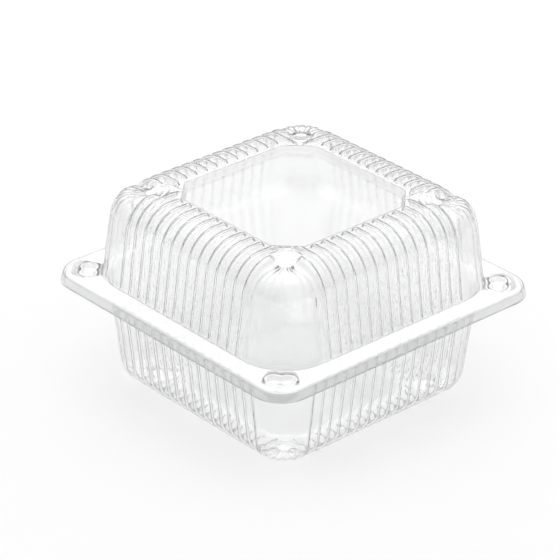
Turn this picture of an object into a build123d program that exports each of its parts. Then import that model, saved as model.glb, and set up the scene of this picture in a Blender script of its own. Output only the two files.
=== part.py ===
"""Clear hinged carton: a fluted tray and a fluted lid, joined by a living hinge and locked at four corners.

Millimetres.  +Z is up, the origin is on the ground under the middle of the tray, the hinge is at the
back (+Y) and the width runs along X.
"""

from build123d import *
from math import floor, radians, sin, sqrt, tan
import os

# Overall
CARTON_WIDTH = 130.0  # along X, across the lid's skirt
CARTON_DEPTH = 130.0  # along Y, across the lid's skirt
TRAY_HEIGHT = 45.0  # ground to the top of the tray's rim
LID_RISE = 35.5  # top of the lid's rim to the crown of the lid
SHEET = 0.4  # thickness of the formed sheet

# Rims and their turned-down skirts
RIM_GAP = 0.1  # air between the two rims when the carton is shut
RIM_CORNER = 12.0  # radius of the lid skirt's corners, seen from above
SKIRT_DRAFT = 15.0  # degrees that a skirt leans outwards
RIM_ROUND = 1.0  # outer rounding where the lid's rim turns down
LID_SKIRT = 3.8  # height of the lid's skirt, from the top of its rim

# Lid dome
LID_LEDGE = 9.0  # from the lid skirt's edge to the foot of the dome
LID_CORNER = 19.0  # corner radius at the foot of the dome
LID_DRAFT = 8.0  # degrees that the dome's walls lean in
LID_SHOULDER = 12.5  # radius from wall to crown
WINDOW_WIDTH = 64.0  # flat of the sunk window, along X
WINDOW_LENGTH = 64.0  # flat of the sunk window, along Y
WINDOW_CHAMFER = 8.0  # cut corners of the window
WINDOW_SINK = 3.5  # how far the window lies below the crown

# Tray
TRAY_LEDGE = 10.5  # from the lid skirt's edge to the mouth of the tray
TRAY_CORNER = 19.0  # corner radius at the mouth of the tray
TRAY_DRAFT = 7.0  # degrees that the tray's walls lean in
TRAY_HEEL = 11.0  # radius from wall to floor
FLOOR_WIDTH = 66.0  # raised middle panel of the floor, along X
FLOOR_LENGTH = 66.0  # raised middle panel of the floor, along Y
FLOOR_CHAMFER = 8.0  # cut corners of the floor panel
FLOOR_LIFT = 1.5  # how far the floor panel stands off the ground

PANEL_DRAFT = 20.0  # degrees that the edges of both middle panels lean

# Flutes: broad ribs with narrow valleys between them
FLUTE_PITCH = 5.0
VALLEY_WIDTH = 1.6
VALLEY_DEPTH = 0.9
FLUTE_END = 1.5  # plain sheet left between a valley's end and a middle panel

# Corner locks: a dog-bone button in the lid presses into a like socket in the tray
LOCK_INSET = 11.0  # centre of each lock from the lid skirt's edges
LOCK_SPAN = 4.8  # between the centres of the dog-bone's round ends
LOCK_END = 2.6  # radius of the button's hollow at its ends
LOCK_WAIST = 3.8  # width of the button's hollow at its middle
LOCK_DEPTH = 2.2  # of the button's hollow, below the top of the lid's rim
LOCK_DRAFT = 8.0  # degrees that the lock's sides lean in
LOCK_GAP = 0.15  # air beside and under a button in its socket, shut or swinging

# Living hinge
HINGE_LENGTH = 96.0
HINGE_BEAD = 0.4  # radius of the folded edge
HINGE_AIR = 0.1  # between the fold and the edge of the lid's skirt

# Levels and lines that follow from the sizes above
LID_LEVEL = TRAY_HEIGHT + RIM_GAP + SHEET
SKIRT_STEP = 2 * HINGE_BEAD  # the fold lies under the lid's skirt and outside the tray's
HINGE_Y = CARTON_DEPTH / 2 - HINGE_BEAD
HINGE_Z = LID_LEVEL - LID_SKIRT - HINGE_AIR - HINGE_BEAD
TRAY_SKIRT = TRAY_HEIGHT - HINGE_Z - SHEET / 2

# A back button leaves its socket on a short arc about the hinge, so that socket is wider at its sides
BUTTON_HEIGHT = LOCK_DEPTH + SHEET
BUTTON_REACH = LOCK_SPAN / 2 * sin(radians(45)) + LOCK_END + SHEET - BUTTON_HEIGHT * tan(radians(LOCK_DRAFT))
BUTTON_ARM = LOCK_INSET - HINGE_BEAD - BUTTON_REACH
BUTTON_LOW = LID_LEVEL - BUTTON_HEIGHT - HINGE_Z
SOCKET_TOP = TRAY_HEIGHT - HINGE_Z
BUTTON_SWING = BUTTON_ARM - sqrt(BUTTON_ARM**2 + BUTTON_LOW**2 - SOCKET_TOP**2)
BACK_LOCK_GAP = LOCK_GAP + BUTTON_SWING - (SOCKET_TOP - BUTTON_LOW) * tan(radians(LOCK_DRAFT))


def rim_form(inset, top, height, rounding):
    """Low block under a rim: its sides flare out downwards and its top edge is rounded."""
    with BuildPart() as form:
        with BuildSketch(Plane.XY.offset(top - height)):
            RectangleRounded(CARTON_WIDTH - 2 * inset, CARTON_DEPTH - 2 * inset, RIM_CORNER - inset)
        extrude(amount=height, taper=SKIRT_DRAFT)
        fillet(form.faces().sort_by(Axis.Z)[-1].edges(), rounding)
    return form.part


def tub_form(width, depth, corner, height, draft, shoulder):
    """Block standing on XY: leaning walls, rounded corners and a rounded shoulder."""
    with BuildPart() as form:
        with BuildSketch():
            RectangleRounded(width, depth, corner)
        extrude(amount=height, taper=draft)
        fillet(form.faces().sort_by(Axis.Z)[-1].edges(), shoulder)
    return form.part


def valley_slabs(width, depth, corner, height, panel_width, panel_length, panel_chamfer, grow):
    """Upright slabs where the valleys run, from outside the walls in to the middle panel."""
    places = []
    for turn, along, panel_across, panel_along in (
        (0, depth, panel_width, panel_length),
        (90, width, panel_length, panel_width),
    ):
        count = floor((along / 2 - corner) / FLUTE_PITCH)
        for step in range(-count, count + 1):
            beside_panel = max(0.0, abs(step) * FLUTE_PITCH - panel_along / 2 + panel_chamfer)
            inner_end = panel_across / 2 + FLUTE_END + beside_panel - grow
            for side in (0, 180):
                places.append(Rotation(0, 0, turn + side) * Pos(inner_end, step * FLUTE_PITCH, 0))
    with BuildPart() as slabs:
        with Locations(places):
            Box(
                max(width, depth) / 2,
                VALLEY_WIDTH + 2 * grow,
                height,
                align=(Align.MIN, Align.CENTER, Align.MIN),
            )
    return slabs.part


def fluted_form(width, depth, corner, height, draft, shoulder, panel, grow):
    """Tub form with fluted walls and shoulder, and a middle panel sunk into its end face.

    panel is (width, length, chamfer, sink).  A grow of 0 gives the outside of a shell; a grow of one
    sheet thickness gives its inside, which starts one sheet lower and lies one sheet inside the outer.
    """
    panel_width, panel_length, panel_chamfer, sink = panel
    spread = 2 * sink * tan(radians(PANEL_DRAFT))
    with BuildPart() as fluted:
        add(tub_form(width - 2 * grow, depth - 2 * grow, corner - grow, height, draft, shoulder - grow))
        add(
            valley_slabs(
                width,
                depth,
                corner,
                height,
                panel_width + spread,
                panel_length + spread,
                panel_chamfer,
                grow,
            ),
            mode=Mode.SUBTRACT,
        )
        deep = grow + VALLEY_DEPTH
        add(
            tub_form(
                width - 2 * deep,
                depth - 2 * deep,
                corner - deep,
                height - VALLEY_DEPTH,
                draft,
                shoulder - deep,
            )
        )
        with BuildSketch(Plane.XY.offset(height - sink)) as outline:
            Rectangle(panel_width + 2 * grow, panel_length + 2 * grow)
            chamfer(outline.vertices(), panel_chamfer)
        extrude(amount=sink, taper=-PANEL_DRAFT, mode=Mode.SUBTRACT)
    return fluted.part


def lid_form(grow):
    """Outside or inside of the dome, standing on XY."""
    return fluted_form(
        CARTON_WIDTH - 2 * LID_LEDGE,
        CARTON_DEPTH - 2 * LID_LEDGE,
        LID_CORNER,
        LID_RISE,
        LID_DRAFT,
        LID_SHOULDER,
        (WINDOW_WIDTH, WINDOW_LENGTH, WINDOW_CHAMFER, WINDOW_SINK),
        grow,
    )


def tray_form(grow):
    """Outside or inside of the tray, upside down on XY."""
    return fluted_form(
        CARTON_WIDTH - 2 * TRAY_LEDGE,
        CARTON_DEPTH - 2 * TRAY_LEDGE,
        TRAY_CORNER,
        TRAY_HEIGHT,
        TRAY_DRAFT,
        TRAY_HEEL,
        (FLOOR_WIDTH, FLOOR_LENGTH, FLOOR_CHAMFER, FLOOR_LIFT),
        grow,
    )


def dog_bone(grow, depth):
    """Block hanging from XY: two round ends and a narrower waist, leaning in towards the bottom."""
    with BuildPart() as bone:
        with Locations((-LOCK_SPAN / 2, 0, -depth / 2), (LOCK_SPAN / 2, 0, -depth / 2)):
            Cone(LOCK_END + grow - depth * tan(radians(LOCK_DRAFT)), LOCK_END + grow, depth)
        with BuildSketch(Plane((0, 0, 0), z_dir=(0, 0, -1))):
            Rectangle(LOCK_SPAN, LOCK_WAIST + 2 * grow)
        extrude(amount=depth, taper=LOCK_DRAFT)
    return bone.part


def socket_hollow(side_gap):
    """Room that a socket leaves for its button, hanging from XY."""
    return dog_bone(SHEET + side_gap, BUTTON_HEIGHT + LOCK_GAP)


def socket_outside(side_gap):
    """Outside of a socket, hanging from XY."""
    return dog_bone(2 * SHEET + side_gap, BUTTON_HEIGHT + LOCK_GAP + SHEET)


def lock_place(side_x, side_y):
    """Place of one lock on top of the lid's rim, its long way across the corner's diagonal."""
    x = side_x * (CARTON_WIDTH / 2 - LOCK_INSET)
    y = side_y * (CARTON_DEPTH / 2 - LOCK_INSET)
    return Location((x, y, LID_LEVEL), (0, 0, -45 * side_x * side_y))


# Corner, place and side gap of each lock
LOCKS = [
    ("front_left", lock_place(-1, -1), LOCK_GAP),
    ("front_right", lock_place(1, -1), LOCK_GAP),
    ("back_left", lock_place(-1, 1), BACK_LOCK_GAP),
    ("back_right", lock_place(1, 1), BACK_LOCK_GAP),
]
BUTTON_HOLLOW = dog_bone(0, LOCK_DEPTH)
BUTTON_OUTSIDE = dog_bone(SHEET, BUTTON_HEIGHT)

os.makedirs("parts", exist_ok=True)


def keep(piece, name):
    """Name a finished piece and write it to its own file."""
    piece.label = name
    export_step(piece, f"parts/{name}.step")


# Tray: rim and skirt, then the fluted tub hanging in it, then the mouths of the four sockets
with BuildPart() as base_tray:
    add(rim_form(SKIRT_STEP, TRAY_HEIGHT, TRAY_SKIRT, RIM_ROUND))
    add(
        rim_form(SKIRT_STEP + SHEET, TRAY_HEIGHT - SHEET, TRAY_SKIRT - SHEET, RIM_ROUND - SHEET),
        mode=Mode.SUBTRACT,
    )
    with Locations(Location((0, 0, TRAY_HEIGHT), (180, 0, 0))):
        add(tray_form(0))
    with Locations(Location((0, 0, TRAY_HEIGHT + SHEET), (180, 0, 0))):
        add(tray_form(SHEET), mode=Mode.SUBTRACT)
    for _, place, side_gap in LOCKS:
        with Locations(place):
            add(socket_outside(side_gap), mode=Mode.SUBTRACT)
keep(base_tray.part, "base_tray")

# Lid: rim and skirt, then the fluted dome standing on it, then the mouths of the four buttons
with BuildPart() as lid:
    add(rim_form(0, LID_LEVEL, LID_SKIRT, RIM_ROUND))
    add(rim_form(SHEET, LID_LEVEL - SHEET, LID_SKIRT - SHEET, RIM_ROUND - SHEET), mode=Mode.SUBTRACT)
    with Locations((0, 0, LID_LEVEL)):
        add(lid_form(0))
    with Locations((0, 0, LID_LEVEL - SHEET)):
        add(lid_form(SHEET), mode=Mode.SUBTRACT)
    with Locations([place for _, place, _ in LOCKS]):
        add(BUTTON_OUTSIDE, mode=Mode.SUBTRACT)
keep(lid.part, "lid")

# Living hinge: a strip from the foot of the tray's skirt to the folded edge under the lid's skirt
with BuildPart() as living_hinge:
    with BuildSketch(Plane.YZ):
        with Locations((HINGE_Y, HINGE_Z)):
            Circle(HINGE_BEAD)
            Rectangle(HINGE_BEAD + SHEET, SHEET, align=(Align.MAX, Align.CENTER))
    extrude(amount=HINGE_LENGTH / 2, both=True)
keep(living_hinge.part, "living_hinge")

# Locks: a thin-walled button and socket in each corner
for corner, place, side_gap in LOCKS:
    with BuildPart() as lock_button:
        with Locations(place):
            add(BUTTON_OUTSIDE)
            add(BUTTON_HOLLOW, mode=Mode.SUBTRACT)
    keep(lock_button.part, f"lock_button_{corner}")

    with BuildPart() as lock_socket:
        with Locations(place):
            add(socket_outside(side_gap))
            add(socket_hollow(side_gap), mode=Mode.SUBTRACT)
        split(bisect_by=Plane.XY.offset(TRAY_HEIGHT), keep=Keep.BOTTOM)
    keep(lock_socket.part, f"lock_socket_{corner}")
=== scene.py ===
"""Clear hinged carton in formed sheet: fluted tray, fluted lid, living hinge and four corner locks."""

import math
from typing import NamedTuple

import bmesh
import bpy
from mathutils import Matrix, Vector


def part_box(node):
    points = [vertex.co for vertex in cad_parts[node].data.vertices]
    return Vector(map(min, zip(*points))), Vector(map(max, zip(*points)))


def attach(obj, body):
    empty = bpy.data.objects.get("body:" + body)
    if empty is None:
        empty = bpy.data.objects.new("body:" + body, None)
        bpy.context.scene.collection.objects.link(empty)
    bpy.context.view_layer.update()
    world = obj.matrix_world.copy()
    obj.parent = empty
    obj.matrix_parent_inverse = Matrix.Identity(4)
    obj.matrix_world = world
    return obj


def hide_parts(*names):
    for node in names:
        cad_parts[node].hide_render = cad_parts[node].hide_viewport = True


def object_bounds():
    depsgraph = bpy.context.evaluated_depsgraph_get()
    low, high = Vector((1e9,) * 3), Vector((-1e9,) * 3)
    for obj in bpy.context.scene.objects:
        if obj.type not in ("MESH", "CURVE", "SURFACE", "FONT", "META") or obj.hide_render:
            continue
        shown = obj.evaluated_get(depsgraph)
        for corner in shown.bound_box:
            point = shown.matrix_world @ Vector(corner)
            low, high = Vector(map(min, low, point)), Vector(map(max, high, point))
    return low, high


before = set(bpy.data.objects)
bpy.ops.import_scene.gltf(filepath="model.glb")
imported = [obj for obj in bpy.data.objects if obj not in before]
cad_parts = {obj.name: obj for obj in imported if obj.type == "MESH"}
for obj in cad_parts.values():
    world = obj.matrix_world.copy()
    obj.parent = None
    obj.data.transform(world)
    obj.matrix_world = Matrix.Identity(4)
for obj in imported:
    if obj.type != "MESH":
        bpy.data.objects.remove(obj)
CAD_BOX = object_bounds()

bl_info = {
    "name": "Clear Hinged Carton",
    "version": (1, 0, 0),
    "blender": (4, 5, 0),
    "location": "View3D > Sidebar > Carton",
    "description": "Fluted clear carton with a hinged lid and press locks, on a pale studio floor",
    "category": "Add Mesh",
}

MM = 0.001
GROUND = CAD_BOX[0][2]
LID_LOW, LID_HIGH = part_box("lid")
TRAY_LOW, TRAY_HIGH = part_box("base_tray")
HALF_WIDTH = (LID_HIGH.x - LID_LOW.x) / 2
HALF_TRAY = (TRAY_HIGH.x - TRAY_LOW.x) / 2
CORNERS = {"front_left": (-1, -1), "front_right": (1, -1), "back_left": (-1, 1), "back_right": (1, 1)}


def size(name, description, default, **more):
    """A size in metres that the sidebar shows as a length."""
    return bpy.props.FloatProperty(
        name=name, description=description, default=default, subtype="DISTANCE", unit="LENGTH", **more
    )


def lean(name, description, degrees):
    """An angle that the sidebar shows in degrees."""
    return bpy.props.FloatProperty(
        name=name, description=description, default=math.radians(degrees), subtype="ANGLE"
    )


def share_of(name, description, default):
    """A share between 0 and 1."""
    return bpy.props.FloatProperty(
        name=name, description=description, default=default, subtype="FACTOR", min=0, max=1
    )


def strength(name, description, default):
    """The strength of a light."""
    return bpy.props.FloatProperty(name=name, description=description, default=default, min=0)


def tint(name, description, default):
    """A colour."""
    return bpy.props.FloatVectorProperty(
        name=name, description=description, default=default, subtype="COLOR", size=3, min=0, max=1
    )


class CartonSheet(bpy.types.PropertyGroup):
    """Sizes that the lid and the tray share."""

    thickness: size("Sheet", "Thickness of the formed sheet", 0.4 * MM)
    skirt_lean: lean("Skirt Lean", "How far the skirts flare", 15)
    rim_round: size("Rim Rounding", "Rounding where a rim turns down", 1.0 * MM)
    rim_core: size("Rim Corner Axis", "From the middle to the axes of the rim's round corners", 53 * MM)
    foot_round: size("Foot Rounding", "Radius where a wall meets its rim", 0.8 * MM)
    pitch: size("Flute Pitch", "From one valley to the next", 5 * MM)
    valley: size("Valley Depth", "Depth of the valleys between the ribs", 1.1 * MM)
    rib_top: size("Rib Top", "Half the width of the gently domed top of a rib", 0.95 * MM)
    rib_foot: size("Rib Foot", "Half the width of a rib where it meets the valley", 1.6 * MM)
    run_out: size("Run Out", "Height over which the valleys fade out above a rim", 1.6 * MM)
    streak: share_of("Post Streaks", "Depth of the corner posts' streaks, as a share of a valley", 0.3)


class CartonLid(bpy.types.PropertyGroup):
    """Sizes of the domed lid."""

    ledge: size("Ledge", "From the skirt's edge to the foot of the dome", 9 * MM)
    corner: size("Corner", "Corner radius at the foot of the dome", 19 * MM)
    draft: lean("Draft", "How far the walls lean in", 8)
    shoulder: size("Shoulder", "Radius from wall to crown", 12.5 * MM)
    skirt: size("Skirt", "Height of the skirt", 3.8 * MM)
    rise: size("Rise", "From the rim to the crown", 35.5 * MM)
    panel: size("Window", "Half the width of the sunk window", 32 * MM)
    panel_cut: size("Window Cut", "Cut corners of the window", 8 * MM)
    panel_sink: size("Window Sink", "How far the window lies below the crown", 3.5 * MM)
    frame_edge: size("Window Frame", "Half the width of the plain frame round the window", 34.6 * MM)
    pad_axis: size("Pad Axis", "From the middle to a corner pad's axis, along X and along Y", 39.2 * MM)
    pad_reach: size("Pad Radius", "Radius of a corner pad's flat disc", 4.7 * MM)
    pad_sink: size("Pad Sink", "How far a corner pad's disc lies below the crown", 2.5 * MM)
    wall_haze: share_of("Wall Haze", "Haze of the walls and the window", 0.1)
    post_haze: share_of("Post Haze", "Haze of the corner posts", 0.3)
    rim_haze: share_of("Rim Haze", "Haze of the rim", 0.32)


class CartonTray(bpy.types.PropertyGroup):
    """Sizes of the tray."""

    ledge: size("Ledge", "From the lid skirt's edge to the mouth of the tray", 10.5 * MM)
    corner: size("Corner", "Corner radius at the mouth of the tray", 19 * MM)
    draft: lean("Draft", "How far the walls lean in", 7)
    shoulder: size("Heel", "Radius from wall to floor", 11 * MM)
    skirt: size("Skirt", "Height of the skirt's inner face", 3.2 * MM)
    rise: size("Depth", "From the rim's underside to the ground", 44.6 * MM)
    panel: size("Floor Panel", "Half the width of the raised floor panel", 33 * MM)
    panel_cut: size("Floor Panel Cut", "Cut corners of the floor panel", 8 * MM)
    panel_sink: size("Floor Panel Lift", "How far the panel stands off the ground", 1.5 * MM)
    frame_edge: size("Floor Frame", "Half the width of the plain frame round the floor panel", 34.8 * MM)
    pad_axis: size("Pad Axis", "From the middle to a corner pad's axis, along X and along Y", 37.2 * MM)
    pad_reach: size("Pad Radius", "Radius of a corner pad's flat disc", 4.7 * MM)
    pad_sink: size("Pad Sink", "How far a corner pad's disc lies off the ground", 1.5 * MM)
    wall_haze: share_of("Wall Haze", "Haze of the walls and the floor panel", 0.0)
    post_haze: share_of("Post Haze", "Haze of the corner posts", 0.2)
    rim_haze: share_of("Rim Haze", "Haze of the rim", 0.5)


class CartonLocks(bpy.types.PropertyGroup):
    """Sizes of the dog-bone press locks."""

    inset: size("Inset", "Centre of a lock from the lid skirt's edges", 11 * MM)
    span: size("Span", "Between the centres of the round ends", 4.8 * MM)
    end: size("End Radius", "Radius of a button's hollow at its ends", 2.6 * MM)
    waist: size("Waist", "Width of a button's hollow at its middle", 3.8 * MM)
    depth: size("Depth", "Depth of a button's hollow", 2.2 * MM)
    draft: lean("Draft", "How far the sides lean in", 8)
    gap: size("Gap", "Air around a button in its socket", 0.15 * MM)
    lip: size("Lip", "Rounding at the mouth of a button or a socket", 0.5 * MM)


class CartonStage(bpy.types.PropertyGroup):
    """Floor, light and camera."""

    sky_strength: strength("Sky Strength", "Strength of the even light from all round", 0.735)
    overhead_power: strength("Overhead Power", "Power of the broad lamp overhead, in watts", 7.5)
    backdrop_power: strength("Backdrop Power", "Power of the broad lamp behind the carton, in watts", 4.0)
    floor_colour: tint("Floor", "Colour of the floor", (0.915, 0.915, 0.915))
    azimuth: lean("Camera Azimuth", "Turn of the camera from the front", 48.12)
    elevation: lean("Camera Elevation", "Height of the camera", 28.36)
    roll: lean("Camera Roll", "Tilt of the picture", 0.494)
    distance: size("Camera Distance", "From the middle of the rim", 1.1608)
    slide_right: size("Camera Slide", "Sideways move of the camera", -4.77 * MM)
    slide_up: size("Camera Lift", "Upward move of the camera", -1.37 * MM)
    lens: bpy.props.FloatProperty(name="Lens", description="Focal length in millimetres", default=200.25)


PROPERTY_GROUPS = {
    "carton_sheet": CartonSheet,
    "carton_lid": CartonLid,
    "carton_tray": CartonTray,
    "carton_locks": CartonLocks,
    "carton_stage": CartonStage,
}

# Places in a flute's pitch that get points: close together at the valley
HALF_FLUTE = (0.1, 0.18, 0.25, 0.32)
FLUTE_PLACES = (0.0, *HALF_FLUTE, 0.5, *(1 - place for place in reversed(HALF_FLUTE)))
# Steps round a corner post, and rings from the crown's edge to the plain frame round a panel
POST_STEPS = 24
TOP_STEPS = 22
# Degrees round a corner post over which the flutes beside it fade into its streaks
POST_FADE = 9
# Where the valleys begin above a rim, and the shares of their run-out that get a ring
RUN_OUT_START = 0.3 * MM
RUN_OUT = (0.25, 0.5, 0.75, 1.0)
# Stretch of a side, from its middle, over which its ribs give way to the corner
WALL_CORNER = (30.5 * MM, 36.5 * MM)
CROWN_CORNER = (28.8 * MM, 31 * MM)
# Share of the crown over which the wall's corners turn into the crown's
CROWN_BLEND = 0.3
# How far the crown's section runs on over the plain frame, and the step from its corners up to it
CROWN_SPARE = 3 * MM
CROWN_STEP = 1.2 * MM
# Doming of a rib's top across its width
RIB_DOME = 1.6
# Slope down to a panel, the flat ring that begins the panel, and the slope's haze
SLOPE_LEAN = math.radians(20)
SLOPE_ROUND = 0.5 * MM
SLOPE_HAZE = 0.4
PANEL_RING = 3 * MM
# Cut corners of a panel: half their turn, the share of a cut that each side's points keep, and the run
# that the corner's points get
CUT_TURN = math.radians(22.5)
CUT_KEPT = 0.4
CUT_RUN = 5 * MM
# Rises round a corner pad's disc, from and to so many millimetres from its axis, with the share of the
# pad's sink that they climb, its outer rounding, and how far below the crown it shapes the post
PAD_STEPS = ((4.3, 5.3), (6.6, 7.6), (9.0, 10.0))
PAD_CLIMB = 0.72
PAD_ROUND = 9 * MM
PAD_DEPTH = 9 * MM
# From a lock cup's hollow to the edge of the hole that it hangs in, the flat ring that begins its
# floor, the least flat of its waist, and how far the cutter of its hole reaches past the rim
MOUTH_RIM = 0.9 * MM
CUP_FLOOR = 0.3 * MM
LEAST_NECK = 0.15 * MM
CUTTER_REACH = 2 * MM
# The hinge's folded edge: its turn in degrees and its steps
FOLD_TURN = 300
FOLD_STEPS = 24
# Stations along the hinge's web, stations in one tab, and the share by which a score line pinches it
WEB_STATIONS = 97
TAB_STATIONS = 4
TAB_PINCH = 0.1
# Height of the camera's aim above the lid's lowest edge
AIM_HEIGHT = 3.8 * MM

# Colours of the sheet: its own colour between the ribs, painted shade on a rib and in darker streaks where
# the sheet is hazed, and painted shade on the skirts, the window and the floor panel
PLAIN_TINT = (0.994, 0.995, 0.996, 1.0)
RIB_STREAK_SHADE = (0.971, 0.973, 0.976, 1.0)
PAINTED_SKIRT_PANEL_GREY = (0.88, 0.882, 0.885, 1.0)
# What the sheet takes from the light of the lamps
LAMP_TINT = (0.999, 0.999, 0.999, 1.0)


class Finish(NamedTuple):
    """Finish of a slot; marked pieces carry the rib mask, the painted shade of skirts and panels, and the
    haze of their points.
    """

    least_rough: float
    bend: float
    scatter: float
    marked: bool


FINISHES = {
    "clear_tray": Finish(0.0, 1.57, 0.0, True),
    "clear_lid": Finish(0.0, 1.57, 0.0, True),
    "clear_hinge": Finish(0.0, 1.57, 0.0, False),
    "clear_lock": Finish(0.3, 1.35, 0.35, False),
}
MATERIALS = {}


class PlanPoint(NamedTuple):
    """One point of every loop round a shell; place is None in a corner, and angle is 0 on a side."""

    quarter: int
    place: float | None
    angle: float
    flute_count: float
    flute_depth: float


class RingPoint(NamedTuple):
    """One point of a ring, with the way and the share in which its valley sinks, where its flute ends, its
    painted shade and its haze.
    """

    place: Vector
    way: Vector
    flute_share: float
    flute_end: float
    tone: float
    haze: float


# ---------------------------------------------------------------- small helpers


def ramp(value, low, high):
    """0 below low, 1 above high and a smooth rise between them."""
    share = min(1.0, max(0.0, (value - low) / (high - low)))
    return share * share * (3 - 2 * share)


def rounded_path(vertices, radii, runs, turn_step=math.radians(10)):
    """Points along a bent line with rounded corners: (reach, height, tangent, run, share of the run).

    runs gives how many pieces each straight run is cut into.  A point on a corner's arc has the number
    of the run before it, plus a half.
    """
    corners = [Vector(v) for v in vertices]
    points = []
    start = corners[0]
    for number in range(len(corners) - 1):
        end = corners[number + 1]
        way = (end - start).normalized()
        last = number == len(corners) - 2
        if not last:
            leave = (corners[number + 2] - end).normalized()
            turn = way.angle_signed(leave)
            setback = radii[number] * math.tan(abs(turn) / 2)
            end = end - way * setback
        for step in range(runs[number] + 1):
            share = step / runs[number]
            points.append((start.lerp(end, share), way, number, share))
        if last:
            break
        side = Vector((way.y, -way.x)) * (1 if turn > 0 else -1)
        centre = end + side * radii[number]
        steps = max(3, math.ceil(abs(turn) / turn_step))
        for step in range(1, steps):
            spin = Matrix.Rotation(-turn * step / steps, 2)
            points.append((centre + spin @ (end - centre), spin @ way, number + 0.5, step / steps))
        start = corners[number + 1] + leave * setback
    return points


# ---------------------------------------------------------------- outlines seen from above


def rim_ray(core, angle, rim_core, reach):
    """How far a ray from a post's axis runs to a rounded square with its corners' axes at rim_core."""
    way = Vector((math.cos(angle), math.sin(angle)))
    for axis in (0, 1):
        if way[axis] > 0:
            run = (reach - core) / way[axis]
            if core + run * way[1 - axis] <= rim_core:
                return run
    back = Vector((core - rim_core, core - rim_core))
    along = back.dot(way)
    return math.sqrt(along**2 - back.length_squared + (reach - rim_core) ** 2) - along


class Plan:
    """The points of every loop round a shell, quarter by quarter: a side facing +X, then its corner.

    core is the distance of the posts' axes from the middle.
    """

    def __init__(self, core, sheet, foot):
        self.core = core
        self.sheet = sheet
        self.points = []
        pitch = sheet.pitch
        count = math.floor(core / pitch)
        places = [(step + share) * pitch for step in range(-count, count) for share in FLUTE_PLACES]
        places = [-core, *places, count * pitch, core]
        turns = self.post_turns(core / pitch, foot / pitch)
        for quarter in range(4):
            for place in places:
                self.points.append(PlanPoint(quarter, place, 0.0, place / pitch, 1.0))
            for step in range(1, POST_STEPS):
                share = step / POST_STEPS
                near = min(share, 1 - share) * 90
                depth = max(sheet.streak, 1 - ramp(near, 0, POST_FADE))
                flutes = core / pitch + share * turns
                self.points.append(PlanPoint(quarter, None, share * math.pi / 2, flutes, depth))

    @staticmethod
    def post_turns(start, arc):
        """Flutes round a post, so that the count fits the sides at both ends."""
        part = (-2 * start) % 1
        return round(arc * math.pi / 2 - part) + part

    def corner_shares(self, stretch):
        """For each point 0 along the middle of a side, 1 in the corner, and a rise over the stretch."""
        return [1.0 if point.place is None else ramp(abs(point.place), *stretch) for point in self.points]

    def core_loop(self, reach):
        """Straight sides at a reach from the middle, joined by arcs about the posts' axes."""
        return self.loop(reach, lambda angle: reach - self.core)

    def rim_loop(self, reach):
        """Rounded square of the rim."""
        return self.loop(reach, lambda angle: rim_ray(self.core, angle, self.sheet.rim_core, reach))

    def loop(self, reach, run):
        """Straight sides at a reach from the middle, and corners where run gives each ray's length."""
        local = []
        for point in self.points:
            if point.place is not None:
                local.append(Vector((reach, point.place)))
            else:
                way = Vector((math.cos(point.angle), math.sin(point.angle)))
                local.append(Vector((self.core, self.core)) + way * run(point.angle))
        return self.turned(local)

    def panel_loop(self, reach, panel, cut):
        """Square with cut corners, reach from the middle; panel and cut are the flat's own sizes."""
        half_side = panel - cut + (reach - panel) * math.tan(CUT_TURN)
        edge = reach - half_side
        last = half_side + CUT_KEPT * edge
        spare = self.core - last
        whole = 2 * spare + CUT_RUN
        local = []
        for point in self.points:
            if point.place is None:
                side = 1
                along = spare + CUT_RUN * point.angle / (math.pi / 2)
                share = CUT_KEPT + (1 - 2 * CUT_KEPT) * along / whole
            else:
                side = 1 if point.place > 0 else -1
                beyond = abs(point.place)
                if beyond <= half_side:
                    local.append(Vector((reach, point.place)))
                    continue
                if beyond <= last:
                    share = (beyond - half_side) / edge
                else:
                    share = CUT_KEPT + (1 - 2 * CUT_KEPT) * (beyond - last) / whole
            local.append(Vector((reach - share * edge, side * (half_side + share * edge))))
        return self.turned(local)

    def turned(self, local):
        """Each quarter's points turned to their own quarter."""
        spins = [Matrix.Rotation(quarter * math.pi / 2, 2) for quarter in range(4)]
        return [spins[point.quarter] @ place for point, place in zip(self.points, local)]

    def outward(self):
        """Unit vector away from the wall at each point of a loop."""
        return self.turned([Vector((math.cos(point.angle), math.sin(point.angle))) for point in self.points])


# ---------------------------------------------------------------- formed shells


def with_firm_edge(path, setback=0.2 * MM):
    """Adds a point close to the path's free end, so that only the very edge looks rounded."""
    start, way, run, _ = path[0]
    return [path[0], (start + way * setback, way, run, 0.05), *path[1:]]


def shell_profile(sheet, form, rim_reach, skirt_way):
    """Rounded section from the skirt's edge over the rim and up the wall to the crown.

    Heights are measured from the rim, towards the crown.  skirt_way is -1 if the skirt runs away from
    the crown and 1 if it runs beside the wall.
    """
    foot = HALF_WIDTH - form.ledge
    flare = form.skirt * math.tan(sheet.skirt_lean)
    wall_top = foot - form.rise * math.tan(form.draft)
    vertices = [
        (rim_reach, skirt_way * form.skirt),
        (rim_reach - flare, 0),
        (foot, 0),
        (wall_top, form.rise),
        (form.frame_edge + CROWN_SPARE, form.rise),
    ]
    radii = [sheet.rim_round, sheet.foot_round, form.shoulder]
    path = with_firm_edge(rounded_path(vertices, radii, (1, 3, 4, 1)))
    first = next(number for number, point in enumerate(path) if point[2] == 2)
    start, way, run, _ = path[first]
    length = (path[first + 4][0] - start).length
    rises = [sheet.run_out * part for part in RUN_OUT]
    close = [(start + way * rise, way, run, rise / length) for rise in rises]
    return [*path[: first + 1], *close, *path[first + 1 :]]


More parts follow.
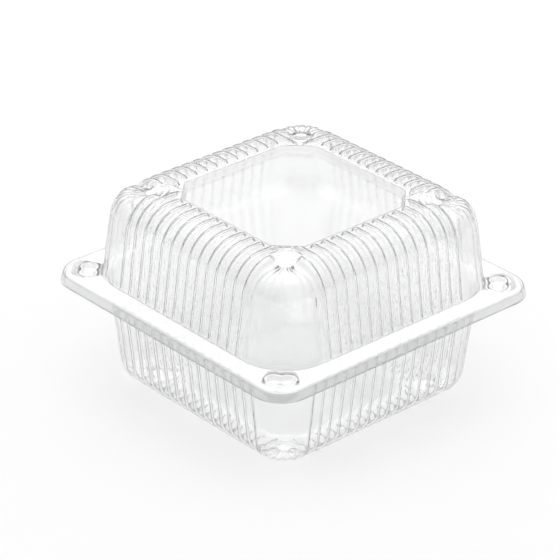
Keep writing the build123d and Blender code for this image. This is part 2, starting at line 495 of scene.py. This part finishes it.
def shell_rings(plan, sheet, form, rim_reach, skirt_way):
    """Rings of points from the skirt over the rim, the wall and the crown to the panel."""
    outward = plan.outward()
    wall_corners = plan.corner_shares(WALL_CORNER)
    crown_corners = plan.corner_shares(CROWN_CORNER)
    post_haze = [form.wall_haze + (form.post_haze - form.wall_haze) * share for share in wall_corners]
    top_haze = [form.post_haze * share for share in wall_corners]
    rings = []

    def ring(loop, height, sink, share, end=0.0, tone=0.0, haze=0.0, corners=wall_corners):
        """Adds a ring; its height, share, end and haze are one value, or a list of one for each point."""
        rows = []
        # The pads shape the shoulder and the crown, and leave the panel's slope alone
        padded = sink[1] < -0.1 and share != 0.0
        for number, (place, away) in enumerate(zip(loop, outward)):
            level, part, close, dim = (
                value[number] if isinstance(value, list) else value for value in (height, share, end, haze)
            )
            if padded and level > form.rise - PAD_DEPTH:
                level += corners[number] * (pad_level(place, level, form) - level)
            way = Vector((away.x * sink[0], away.y * sink[0], sink[1]))
            rows.append(RingPoint(Vector((place.x, place.y, level)), way, part, close, tone, dim))
        rings.append(rows)

    profile = shell_profile(sheet, form, rim_reach, skirt_way)
    rim = plan.rim_loop(next(place.x for place, _, run, _ in profile if run == 1))
    foot = plan.core_loop(HALF_WIDTH - form.ledge + sheet.foot_round)
    for place, way, run, share in profile[:-1]:
        if run < 1:
            # Painted shade: the skirt is painted grey, fading out over the rim's rounding
            tone = 1.0 if run == 0 else 1 - share
            ring(plan.rim_loop(place.x), place.y, (-1, 0), 0.0, tone=tone)
        elif run == 1:
            loop = [a.lerp(b, share) for a, b in zip(rim, foot)]
            ring(loop, 0.0, (-1, 0), 0.0, haze=form.rim_haze)
        else:
            lean_in = ramp(run + share * 0.5, 1.5, 2.0)
            sink = (-1 + lean_in * (1 - way.y), lean_in * way.x)
            fade = ramp(place.y, RUN_OUT_START, sheet.run_out)
            ring(plan.core_loop(place.x), place.y, sink, fade, haze=post_haze)

    crown = plan.core_loop(profile[-2][0].x)
    frame_loop = plan.panel_loop(form.frame_edge, form.panel, form.panel_cut)
    for step in range(1, TOP_STEPS + 1):
        share = step / TOP_STEPS
        loop = [a.lerp(b, share) for a, b in zip(crown, frame_loop)]
        part = ramp(share, 0.0, CROWN_BLEND)
        corners = [wall + (top - wall) * part for wall, top in zip(wall_corners, crown_corners)]
        gaps = [(place - edge).length for place, edge in zip(loop, frame_loop)]
        ends = [max(0.0, sheet.rib_foot - gap) / sheet.pitch for gap in gaps]
        shares = [1 - corner for corner in corners]
        heights = [
            form.rise - corner * sheet.valley * (1 - ramp(gap, 0.0, CROWN_STEP))
            for corner, gap in zip(corners, gaps)
        ]
        ring(loop, heights, (0, -1), shares, ends, haze=top_haze, corners=corners)

    frame_level = form.rise - sheet.valley
    panel_level = form.rise - form.panel_sink
    slope = form.panel_sink * math.tan(SLOPE_LEAN)
    vertices = [
        (form.frame_edge, frame_level),
        (form.panel + slope, frame_level),
        (form.panel, panel_level),
        (form.panel - PANEL_RING, panel_level),
    ]
    recess = rounded_path(vertices, [SLOPE_ROUND, SLOPE_ROUND], (1, 1, 1), math.radians(24))
    for place, _, run, _ in recess[1:]:
        loop = plan.panel_loop(place.x, form.panel, form.panel_cut)
        # Painted shade on the flat of the window or the floor panel; the slope down to it gets haze instead
        tone, haze = (1.0, form.wall_haze) if run == 2 else (0.0, SLOPE_HAZE)
        ring(loop, place.y, (0, -1), 0.0, tone=tone, haze=haze)
    return rings


def pad_level(place, height, form):
    """Height of a corner pad: a flat disc on the post, with steps up to the crown on its inner side."""
    off = Vector((abs(place.x) - form.pad_axis, abs(place.y) - form.pad_axis))
    reach = off.length
    disc = form.rise - form.pad_sink
    step = form.pad_sink * PAD_CLIMB / len(PAD_STEPS)
    inner = disc + step * sum(ramp(reach, low * MM, high * MM) for low, high in PAD_STEPS)
    beyond = min(max(0.0, reach - form.pad_reach), PAD_ROUND)
    outer = disc - PAD_ROUND + math.sqrt(PAD_ROUND**2 - beyond**2)
    outwards = ramp((off.x + off.y) / max(reach, MM), -0.5, 0.5)
    return min(height, inner + outwards * (outer - inner))


def write_attribute(mesh, name, values):
    """Stores one number for each point of a mesh."""
    mesh.attributes.new(name, "FLOAT", "POINT").data.foreach_set("value", values)


def shell_mesh(name, plan, rings, rim_level, way_up):
    """Mesh of a shell without its flutes, with the attributes that the flutes are made from."""
    mesh = bpy.data.meshes.new(name)
    count = len(plan.points)
    vertices = [(p.place.x, p.place.y, rim_level + way_up * p.place.z) for rows in rings for p in rows]
    faces = []
    for ring in range(len(rings) - 1):
        start = ring * count
        for number in range(count):
            beside = (number + 1) % count
            faces.append([start + number, start + beside, start + count + beside, start + count + number])
    faces.append([(len(rings) - 1) * count + number for number in range(count)])
    if way_up < 0:
        faces = [face[::-1] for face in faces]
    mesh.from_pydata(vertices, [], faces)
    rows = [row for ring in rings for row in ring]
    plan_points = plan.points * len(rings)
    depths = [row.flute_share * point.flute_depth for row, point in zip(rows, plan_points)]
    write_attribute(mesh, "flute_count", [point.flute_count for point in plan_points])
    write_attribute(mesh, "flute_share", depths)
    write_attribute(mesh, "flute_end", [row.flute_end for row in rows])
    write_attribute(mesh, "tone", [row.tone for row in rows])
    write_attribute(mesh, "haze", [row.haze for row in rows])
    ways = [part for row in rows for part in (row.way.x, row.way.y, way_up * row.way.z)]
    mesh.attributes.new("sink_way", "FLOAT_VECTOR", "POINT").data.foreach_set("vector", ways)
    return mesh


# ---------------------------------------------------------------- Geometry Nodes


def add_node(tree, kind, inputs=None, **settings):
    """A node with its settings and inputs, where an input that is a socket is linked."""
    node = tree.nodes.new(kind)
    for name, value in settings.items():
        setattr(node, name, value)
    for key, value in (inputs or {}).items():
        socket = node.inputs[key]
        if isinstance(value, bpy.types.NodeSocket):
            tree.links.new(value, socket)
        else:
            socket.default_value = value
    return node


def maths(tree, operation, first, second=None, third=None):
    """The result of one Math node."""
    values = {0: first}
    if second is not None:
        values[1] = second
    if third is not None:
        values[2] = third
    return add_node(tree, "ShaderNodeMath", values, operation=operation).outputs[0]


def flute_tree():
    """Node tree that sinks the valleys between the ribs of a shell."""
    tree = bpy.data.node_groups.new("flutes", "GeometryNodeTree")
    socket = tree.interface.new_socket
    socket("Geometry", in_out="INPUT", socket_type="NodeSocketGeometry")
    socket("Valley Depth", in_out="INPUT", socket_type="NodeSocketFloat")
    socket("Rib Top", in_out="INPUT", socket_type="NodeSocketFloat")
    socket("Rib Foot", in_out="INPUT", socket_type="NodeSocketFloat")
    socket("Material", in_out="INPUT", socket_type="NodeSocketMaterial")
    socket("Geometry", in_out="OUTPUT", socket_type="NodeSocketGeometry")
    given = add_node(tree, "NodeGroupInput").outputs

    def named(name, kind="FLOAT"):
        return add_node(tree, "GeometryNodeInputNamedAttribute", {0: name}, data_type=kind).outputs[0]

    across = maths(tree, "SUBTRACT", maths(tree, "FRACT", named("flute_count")), 0.5)
    along = named("flute_end")
    squares = maths(tree, "MULTIPLY_ADD", across, across, maths(tree, "MULTIPLY", along, along))
    off = maths(tree, "SQRT", squares)
    sides = add_node(
        tree,
        "ShaderNodeMapRange",
        {"Value": off, "From Min": given["Rib Top"], "From Max": given["Rib Foot"]},
        interpolation_type="SMOOTHSTEP",
    ).outputs[0]
    dome = maths(tree, "MULTIPLY", squares, RIB_DOME)
    both = maths(tree, "MINIMUM", maths(tree, "ADD", sides, dome), 1.0)
    shared = maths(tree, "MULTIPLY", both, named("flute_share"))
    depth = maths(tree, "MULTIPLY", shared, given["Valley Depth"])
    way = named("sink_way", "FLOAT_VECTOR")
    move = add_node(tree, "ShaderNodeVectorMath", {0: way, "Scale": depth}, operation="SCALE").outputs[0]
    moved = add_node(tree, "GeometryNodeSetPosition", {"Geometry": given["Geometry"], "Offset": move})
    # Mask of the rib tops, which the material uses to paint shade on them
    rib = maths(tree, "MULTIPLY", maths(tree, "SUBTRACT", 1.0, sides), named("flute_share"))
    kept = add_node(
        tree,
        "GeometryNodeStoreNamedAttribute",
        {"Geometry": moved.outputs[0], "Name": "rib", "Value": rib},
        data_type="FLOAT",
        domain="POINT",
    )
    smooth = add_node(tree, "GeometryNodeSetShadeSmooth", {"Geometry": kept.outputs[0]})
    whole = add_node(tree, "GeometryNodeRealizeInstances", {"Geometry": smooth.outputs[0]})
    finished = add_node(
        tree, "GeometryNodeSetMaterial", {"Geometry": whole.outputs[0], "Material": given["Material"]}
    )
    add_node(tree, "NodeGroupOutput", {0: finished.outputs[0]})
    return tree


def set_input(modifier, name, value):
    """Sets a modifier's input by the identifier of the tree's socket."""
    for item in modifier.node_group.interface.items_tree:
        if item.item_type == "SOCKET" and item.in_out == "INPUT" and item.name == name:
            modifier[item.identifier] = value
            return
    raise KeyError(f"the tree has no input named {name}")


def link_object(name, mesh):
    """A new object in the scene."""
    piece = bpy.data.objects.new(name, mesh)
    bpy.context.scene.collection.objects.link(piece)
    return piece


def settle(piece):
    """Turns what a piece's modifiers make into its own plain mesh."""
    bpy.context.view_layer.update()
    graph = bpy.context.evaluated_depsgraph_get()
    mesh = bpy.data.meshes.new_from_object(piece.evaluated_get(graph), depsgraph=graph)
    old = piece.data
    piece.modifiers.clear()
    piece.data = mesh
    bpy.data.meshes.remove(old)
    mesh.name = piece.name
    return piece


def thicken(piece, thickness):
    """Gives a surface its wall, on the side that its faces turn away from."""
    wall = piece.modifiers.new("wall", "SOLIDIFY")
    wall.thickness = thickness
    wall.offset = -1
    wall.use_even_offset = True
    wall.use_quality_normals = True


# ---------------------------------------------------------------- materials


def clear_sheet(name, finish):
    """Clear formed plastic with faint draw marks along its height, on marked pieces painted shade on the
    ribs, skirts and panels, and clear to the lamps.
    """
    material = bpy.data.materials.new(name)
    material.use_nodes = True
    tree = material.node_tree
    tree.nodes.clear()
    where = add_node(tree, "ShaderNodeTexCoord").outputs["Object"]
    drawn = add_node(tree, "ShaderNodeVectorMath", {0: where, 1: (1.0, 1.0, 0.03)}, operation="MULTIPLY")
    ripple = add_node(
        tree,
        "ShaderNodeTexNoise",
        {"Vector": drawn.outputs[0], "Scale": 1200.0, "Detail": 2.0, "Roughness": 0.55},
    ).outputs[0]
    grain = add_node(
        tree, "ShaderNodeTexNoise", {"Vector": where, "Scale": 900.0, "Detail": 2.0, "Roughness": 0.5}
    ).outputs[0]
    broad = add_node(tree, "ShaderNodeBump", {"Strength": 0.06, "Distance": 0.0003, "Height": ripple})
    fine = add_node(
        tree,
        "ShaderNodeBump",
        {"Strength": 0.05, "Distance": 0.0003, "Height": grain, "Normal": broad.outputs[0]},
    )
    rough = add_node(
        tree,
        "ShaderNodeMapRange",
        {"Value": ripple, "To Min": finish.least_rough, "To Max": finish.least_rough + 0.05},
    ).outputs[0]
    sheet = add_node(
        tree,
        "ShaderNodeBsdfPrincipled",
        {
            "Base Color": PLAIN_TINT,
            "Roughness": rough,
            "IOR": finish.bend,
            "Transmission Weight": 1 - finish.scatter,
            "Normal": fine.outputs[0],
        },
    )
    if finish.marked:
        veil = add_node(tree, "ShaderNodeAttribute", attribute_name="haze").outputs["Fac"]
        rib = add_node(tree, "ShaderNodeAttribute", attribute_name="rib").outputs["Fac"]
        tone = add_node(tree, "ShaderNodeAttribute", attribute_name="tone").outputs["Fac"]
        tree.links.new(maths(tree, "MULTIPLY_ADD", veil, 0.25, rough), sheet.inputs["Roughness"])
        clear = maths(tree, "MULTIPLY_ADD", veil, -0.3, 1 - finish.scatter)
        tree.links.new(clear, sheet.inputs["Transmission Weight"])
        # Painted shade on the rib tops, with darker streaks where the sheet is hazed
        rib_shade_and_streaks = maths(tree, "MULTIPLY_ADD", veil, ripple, rib)
        rib_shaded_colour = add_node(
            tree, "ShaderNodeMix", {"Factor": rib_shade_and_streaks, "A": PLAIN_TINT, "B": RIB_STREAK_SHADE}, data_type="RGBA"
        ).outputs["Result"]
        # Painted shade on the skirts, the window and the floor panel
        painted_colour = add_node(
            tree, "ShaderNodeMix", {"Factor": tone, "A": rib_shaded_colour, "B": PAINTED_SKIRT_PANEL_GREY}, data_type="RGBA"
        ).outputs["Result"]
        tree.links.new(painted_colour, sheet.inputs["Base Color"])
    through = add_node(tree, "ShaderNodeBsdfTransparent", {"Color": LAMP_TINT})
    path = add_node(tree, "ShaderNodeLightPath")
    mix = add_node(
        tree,
        "ShaderNodeMixShader",
        {0: path.outputs["Is Shadow Ray"], 1: sheet.outputs[0], 2: through.outputs[0]},
    )
    add_node(tree, "ShaderNodeOutputMaterial", {"Surface": mix.outputs[0]})
    return material


def material_for(slot):
    """The finish of one of the record's slots, made once."""
    if slot not in MATERIALS:
        MATERIALS[slot] = clear_sheet(slot, FINISHES[slot])
    return MATERIALS[slot]


# ---------------------------------------------------------------- pieces


def make_shell(context, name, form, rim_reach, rim_level, way_up, slot):
    """A whole shell with its flutes and its wall."""
    sheet = context.scene.carton_sheet
    core = HALF_WIDTH - form.ledge - form.corner
    plan = Plan(core, sheet, form.corner)
    skirt_way = -1 if way_up > 0 else 1
    rings = shell_rings(plan, sheet, form, rim_reach, skirt_way)
    piece = link_object(name, shell_mesh(name, plan, rings, rim_level, way_up))
    flutes = piece.modifiers.new("flutes", "NODES")
    flutes.node_group = flute_tree()
    set_input(flutes, "Valley Depth", sheet.valley)
    set_input(flutes, "Rib Top", sheet.rib_top / sheet.pitch)
    set_input(flutes, "Rib Foot", sheet.rib_foot / sheet.pitch)
    set_input(flutes, "Material", material_for(slot))
    thicken(piece, sheet.thickness)
    return settle(piece)


def dog_bone(locks, grow, centre, turn, steps=14):
    """Outline with two round ends and a narrower waist, as 2D points about a centre."""
    reach = locks.end + grow
    half_waist = locks.waist / 2 + grow
    half_span = locks.span / 2
    neck = max(LEAST_NECK, half_span - math.sqrt(reach**2 - half_waist**2))
    open_angle = math.acos((neck - half_span) / reach)
    points = []
    for side in (1, -1):
        for step in range(steps + 1):
            angle = open_angle * (2 * step / steps - 1)
            points.append(side * Vector((half_span + reach * math.cos(angle), reach * math.sin(angle))))
    spin = Matrix.Rotation(turn, 2)
    return [centre + spin @ point for point in points]


def lock_seat(locks, corner):
    """Centre and turn of the lock in one corner."""
    side_x, side_y = CORNERS[corner]
    reach = HALF_WIDTH - locks.inset
    return Vector((side_x * reach, side_y * reach)), -math.radians(45) * side_x * side_y


def make_cup(name, locks, corner, mouth, depth, top, thickness):
    """Thin dog-bone cup that hangs from a rim: rounded mouth, leaning sides and a rounded bottom.

    mouth is how far its hollow is larger than a button's.
    """
    centre, turn = lock_seat(locks, corner)
    lip = locks.lip
    bottom = mouth - depth * math.tan(locks.draft)
    corners = [(mouth + MOUTH_RIM, 0), (mouth, 0), (bottom, -depth), (bottom - lip - CUP_FLOOR, -depth)]
    profile = rounded_path(corners, [lip * 0.8, lip], (1, 3, 1), math.radians(18))
    profile = with_firm_edge(profile, 0.1 * MM)
    vertices = []
    for place, _, _, _ in profile:
        vertices += [(p.x, p.y, top + place.y) for p in dog_bone(locks, place.x, centre, turn)]
    count = len(vertices) // len(profile)
    faces = []
    for ring in range(len(profile) - 1):
        for number in range(count):
            beside = (number + 1) % count
            start = ring * count
            faces.append((start + number, start + beside, start + count + beside, start + count + number))
    faces.append(tuple((len(profile) - 1) * count + number for number in range(count)))
    mesh = bpy.data.meshes.new(name)
    mesh.from_pydata(vertices, [], faces)
    mesh.shade_smooth()
    mesh.materials.append(material_for("clear_lock"))
    cup = link_object(name, mesh)
    thicken(cup, thickness)
    return settle(cup)


def cut_mouths(piece, locks, grows, level):
    """Cuts the mouths of the four locks out of a rim at a level."""
    body = bmesh.new()
    for corner, grow in grows.items():
        centre, turn = lock_seat(locks, corner)
        outline = dog_bone(locks, grow, centre, turn)
        low = [body.verts.new((p.x, p.y, level - CUTTER_REACH)) for p in outline]
        high = [body.verts.new((p.x, p.y, level + CUTTER_REACH)) for p in outline]
        body.faces.new(low[::-1])
        body.faces.new(high)
        for number in range(len(outline)):
            beside = (number + 1) % len(outline)
            body.faces.new((low[number], low[beside], high[beside], high[number]))
    mesh = bpy.data.meshes.new("mouths")
    body.to_mesh(mesh)
    body.free()
    cutter = link_object("mouths", mesh)
    cut = piece.modifiers.new("mouths", "BOOLEAN")
    cut.object = cutter
    cut.operation = "DIFFERENCE"
    cut.solver = "EXACT"
    settle(piece)
    bpy.data.objects.remove(cutter)


class CARTON_OT_locks(bpy.types.Operator):
    """Make the four lock buttons in the lid and the four sockets in the tray"""

    bl_idname = "carton.locks"
    bl_label = "Corner Locks"
    bl_options = {"UNDO"}

    def execute(self, context):
        locks = context.scene.carton_locks
        wall = context.scene.carton_sheet.thickness
        top = LID_HIGH.z - context.scene.carton_lid.rise
        for corner in CORNERS:
            button = make_cup(f"button_{corner}", locks, corner, 0.0, locks.depth, top, wall)
            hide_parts(f"lock_button_{corner}")
            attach(button, "lid")
            room = socket_room(locks, corner, wall)
            depth = locks.depth + locks.gap + wall - (top - TRAY_HIGH.z)
            socket = make_cup(f"socket_{corner}", locks, corner, room, depth, TRAY_HIGH.z, wall)
            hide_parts(f"lock_socket_{corner}")
            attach(socket, "tray")
        return {"FINISHED"}


class CARTON_OT_hinge(bpy.types.Operator):
    """Make the living hinge: a thin web with a folded edge, scored into short tabs"""

    bl_idname = "carton.hinge"
    bl_label = "Living Hinge"
    bl_options = {"UNDO"}

    def execute(self, context):
        low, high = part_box("living_hinge")
        mesh = web_mesh("hinge_web", low, high, context.scene.carton_sheet.thickness)
        mesh.materials.append(material_for("clear_hinge"))
        web = link_object("hinge_web", mesh)
        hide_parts("living_hinge")
        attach(web, "tray")
        return {"FINISHED"}


def web_mesh(name, low, high, wall):
    """Closed mesh of the hinge's web, its section drawn in Y and Z and carried along X."""
    bead = (high.z - low.z) / 2
    centre = Vector((high.y - bead, low.z + bead))
    outline = []
    for step in range(FOLD_STEPS + 1):
        angle = math.radians(-FOLD_TURN / 2 + FOLD_TURN * step / FOLD_STEPS)
        outline.append(centre + bead * Vector((math.cos(angle), math.sin(angle))))
    outline.append(Vector((low.y, centre.y + wall / 2)))
    outline.append(Vector((low.y, centre.y - wall / 2)))
    vertices = []
    for station in range(WEB_STATIONS):
        place = low.x + (high.x - low.x) * station / (WEB_STATIONS - 1)
        pinch = 1 - TAB_PINCH * (math.sin(math.pi * station / TAB_STATIONS) ** 8)
        vertices += [(place, point.x, centre.y + (point.y - centre.y) * pinch) for point in outline]
    count = len(outline)
    faces = [tuple(range(count)), tuple(range((WEB_STATIONS - 1) * count, WEB_STATIONS * count))[::-1]]
    for station in range(WEB_STATIONS - 1):
        start = station * count
        for number in range(count):
            beside = (number + 1) % count
            faces.append((start + number, start + count + number, start + count + beside, start + beside))
    mesh = bpy.data.meshes.new(name)
    mesh.from_pydata(vertices, [], faces)
    mesh.shade_smooth()
    body = bmesh.new()
    body.from_mesh(mesh)
    bmesh.ops.recalc_face_normals(body, faces=body.faces)
    body.to_mesh(mesh)
    body.free()
    return mesh


def socket_room(locks, corner, wall):
    """How far a socket's hollow is larger than its button's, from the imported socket's own width."""
    low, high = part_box(f"lock_socket_{corner}")
    half_long = (high.x - low.x) / 2 - locks.span / 2 * math.cos(math.radians(45))
    return half_long - locks.end - wall


class CARTON_OT_lid(bpy.types.Operator):
    """Make the fluted lid with its window, rim and skirt"""

    bl_idname = "carton.lid"
    bl_label = "Lid"
    bl_options = {"UNDO"}

    def execute(self, context):
        form = context.scene.carton_lid
        locks = context.scene.carton_locks
        rim_level = LID_HIGH.z - form.rise
        lid = make_shell(context, "lid_shell", form, HALF_WIDTH, rim_level, 1, "clear_lid")
        cut_mouths(lid, locks, dict.fromkeys(CORNERS, MOUTH_RIM), rim_level)
        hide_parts("lid")
        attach(lid, "lid")
        return {"FINISHED"}


class CARTON_OT_tray(bpy.types.Operator):
    """Make the fluted tray with its rim and skirt"""

    bl_idname = "carton.tray"
    bl_label = "Tray"
    bl_options = {"UNDO"}

    def execute(self, context):
        form = context.scene.carton_tray
        locks = context.scene.carton_locks
        wall = context.scene.carton_sheet.thickness
        rim_level = TRAY_HIGH.z - wall
        tray = make_shell(context, "tray_shell", form, HALF_TRAY - wall, rim_level, -1, "clear_tray")
        grows = {corner: socket_room(locks, corner, wall) + MOUTH_RIM for corner in CORNERS}
        cut_mouths(tray, locks, grows, rim_level)
        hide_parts("base_tray")
        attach(tray, "tray")
        return {"FINISHED"}


class CARTON_OT_stage(bpy.types.Operator):
    """Make the pale floor, the soft lights and the camera"""

    bl_idname = "carton.stage"
    bl_label = "Stage"
    bl_options = {"UNDO"}

    def execute(self, context):
        stage = context.scene.carton_stage
        make_floor(stage)
        make_lights(context.scene, stage)
        make_camera(context.scene, stage)
        return {"FINISHED"}


def make_floor(stage):
    """A wide pale floor."""
    mesh = bpy.data.meshes.new("floor")
    reach = 3.0
    corners = [(-reach, -reach), (reach, -reach), (reach, reach), (-reach, reach)]
    mesh.from_pydata([(x, y, GROUND) for x, y in corners], [], [(0, 1, 2, 3)])
    floor = link_object("floor", mesh)
    material = bpy.data.materials.new("floor")
    material.use_nodes = True
    tree = material.node_tree
    tree.nodes.clear()
    matt = add_node(tree, "ShaderNodeBsdfDiffuse", {"Color": (*stage.floor_colour, 1.0)})
    add_node(tree, "ShaderNodeOutputMaterial", {"Surface": matt.outputs[0]})
    mesh.materials.append(material)


def make_lights(scene, stage):
    """Even light from all round that darkens to the sides, and two broad lamps."""
    world = bpy.data.worlds.new("studio")
    world.use_nodes = True
    tree = world.node_tree
    tree.nodes.clear()
    way = add_node(tree, "ShaderNodeTexCoord").outputs["Generated"]
    height = add_node(tree, "ShaderNodeSeparateXYZ", {0: way}).outputs["Z"]
    shade = add_node(tree, "ShaderNodeValToRGB", {0: height})
    side, top = shade.color_ramp.elements
    side.position = 0.0
    side.color = (0.11, 0.11, 0.11, 1)
    top.position = 0.75
    top.color = (1.3, 1.3, 1.3, 1)
    sky = add_node(tree, "ShaderNodeBackground", {"Color": shade.outputs[0], "Strength": stage.sky_strength})
    add_node(tree, "ShaderNodeOutputWorld", {"Surface": sky.outputs[0]})
    scene.world = world
    add_lamp(scene, "overhead", (0.0, 0.1, 1.5), (1.6, 1.6), stage.overhead_power)
    add_lamp(scene, "backdrop", (-1.15, 1.03, 0.95), (1.7, 0.9), stage.backdrop_power)


def add_lamp(scene, name, place, spread, power):
    """A broad soft lamp that faces the carton."""
    lamp = bpy.data.lights.new(name, "AREA")
    lamp.shape = "RECTANGLE"
    lamp.size, lamp.size_y = spread
    lamp.energy = power
    piece = bpy.data.objects.new(name, lamp)
    piece.location = place
    piece.rotation_euler = (-Vector(place)).to_track_quat("-Z", "Y").to_euler()
    scene.collection.objects.link(piece)


def make_camera(scene, stage):
    """Long-lens camera that looks down at the carton from its front right."""
    turn, rise, roll = stage.azimuth, stage.elevation, stage.roll
    back = Vector((math.sin(turn) * math.cos(rise), -math.cos(turn) * math.cos(rise), math.sin(rise)))
    right = Vector((math.cos(turn), math.sin(turn), 0))
    up = back.cross(right)
    right, up = right * math.cos(roll) + up * math.sin(roll), up * math.cos(roll) - right * math.sin(roll)
    aim = Vector((0, 0, LID_LOW.z + AIM_HEIGHT))
    place = aim + back * stage.distance + right * stage.slide_right + up * stage.slide_up
    camera = bpy.data.cameras.new("camera")
    camera.lens = stage.lens
    camera.sensor_width = 36
    camera.clip_end = 10
    piece = bpy.data.objects.new("camera", camera)
    piece.matrix_world = Matrix(
        (
            (right.x, up.x, back.x, place.x),
            (right.y, up.y, back.y, place.y),
            (right.z, up.z, back.z, place.z),
            (0, 0, 0, 1),
        )
    )
    scene.collection.objects.link(piece)
    scene.camera = piece


class CARTON_PT_sidebar(bpy.types.Panel):
    """Sizes and buttons of the carton."""

    bl_idname = "CARTON_PT_sidebar"
    bl_label = "Clear Hinged Carton"
    bl_space_type = "VIEW_3D"
    bl_region_type = "UI"
    bl_category = "Carton"

    def draw(self, context):
        for name, group in PROPERTY_GROUPS.items():
            box = self.layout.box()
            settings = getattr(context.scene, name)
            for key in group.__annotations__:
                box.prop(settings, key)
        for operator in OPERATORS:
            self.layout.operator(operator.bl_idname)


OPERATORS = (CARTON_OT_tray, CARTON_OT_lid, CARTON_OT_locks, CARTON_OT_hinge, CARTON_OT_stage)


def register():
    """Makes the settings, the buttons and the sidebar known."""
    for name, group in PROPERTY_GROUPS.items():
        bpy.utils.register_class(group)
        setattr(bpy.types.Scene, name, bpy.props.PointerProperty(type=group))
    for operator in OPERATORS:
        bpy.utils.register_class(operator)
    bpy.utils.register_class(CARTON_PT_sidebar)


def unregister():
    """Takes the settings, the buttons and the sidebar away again."""
    bpy.utils.unregister_class(CARTON_PT_sidebar)
    for operator in reversed(OPERATORS):
        bpy.utils.unregister_class(operator)
    for name, group in reversed(PROPERTY_GROUPS.items()):
        delattr(bpy.types.Scene, name)
        bpy.utils.unregister_class(group)


def main():
    """Makes the whole carton and its stage."""
    register()
    scene = bpy.context.scene
    scene.view_settings.view_transform = "Standard"
    scene.cycles.max_bounces = 32
    scene.cycles.transmission_bounces = 32
    scene.cycles.transparent_max_bounces = 64
    bpy.ops.carton.tray()
    bpy.ops.carton.lid()
    bpy.ops.carton.locks()
    bpy.ops.carton.hinge()
    bpy.ops.carton.stage()


if __name__ == "__main__":
    main()
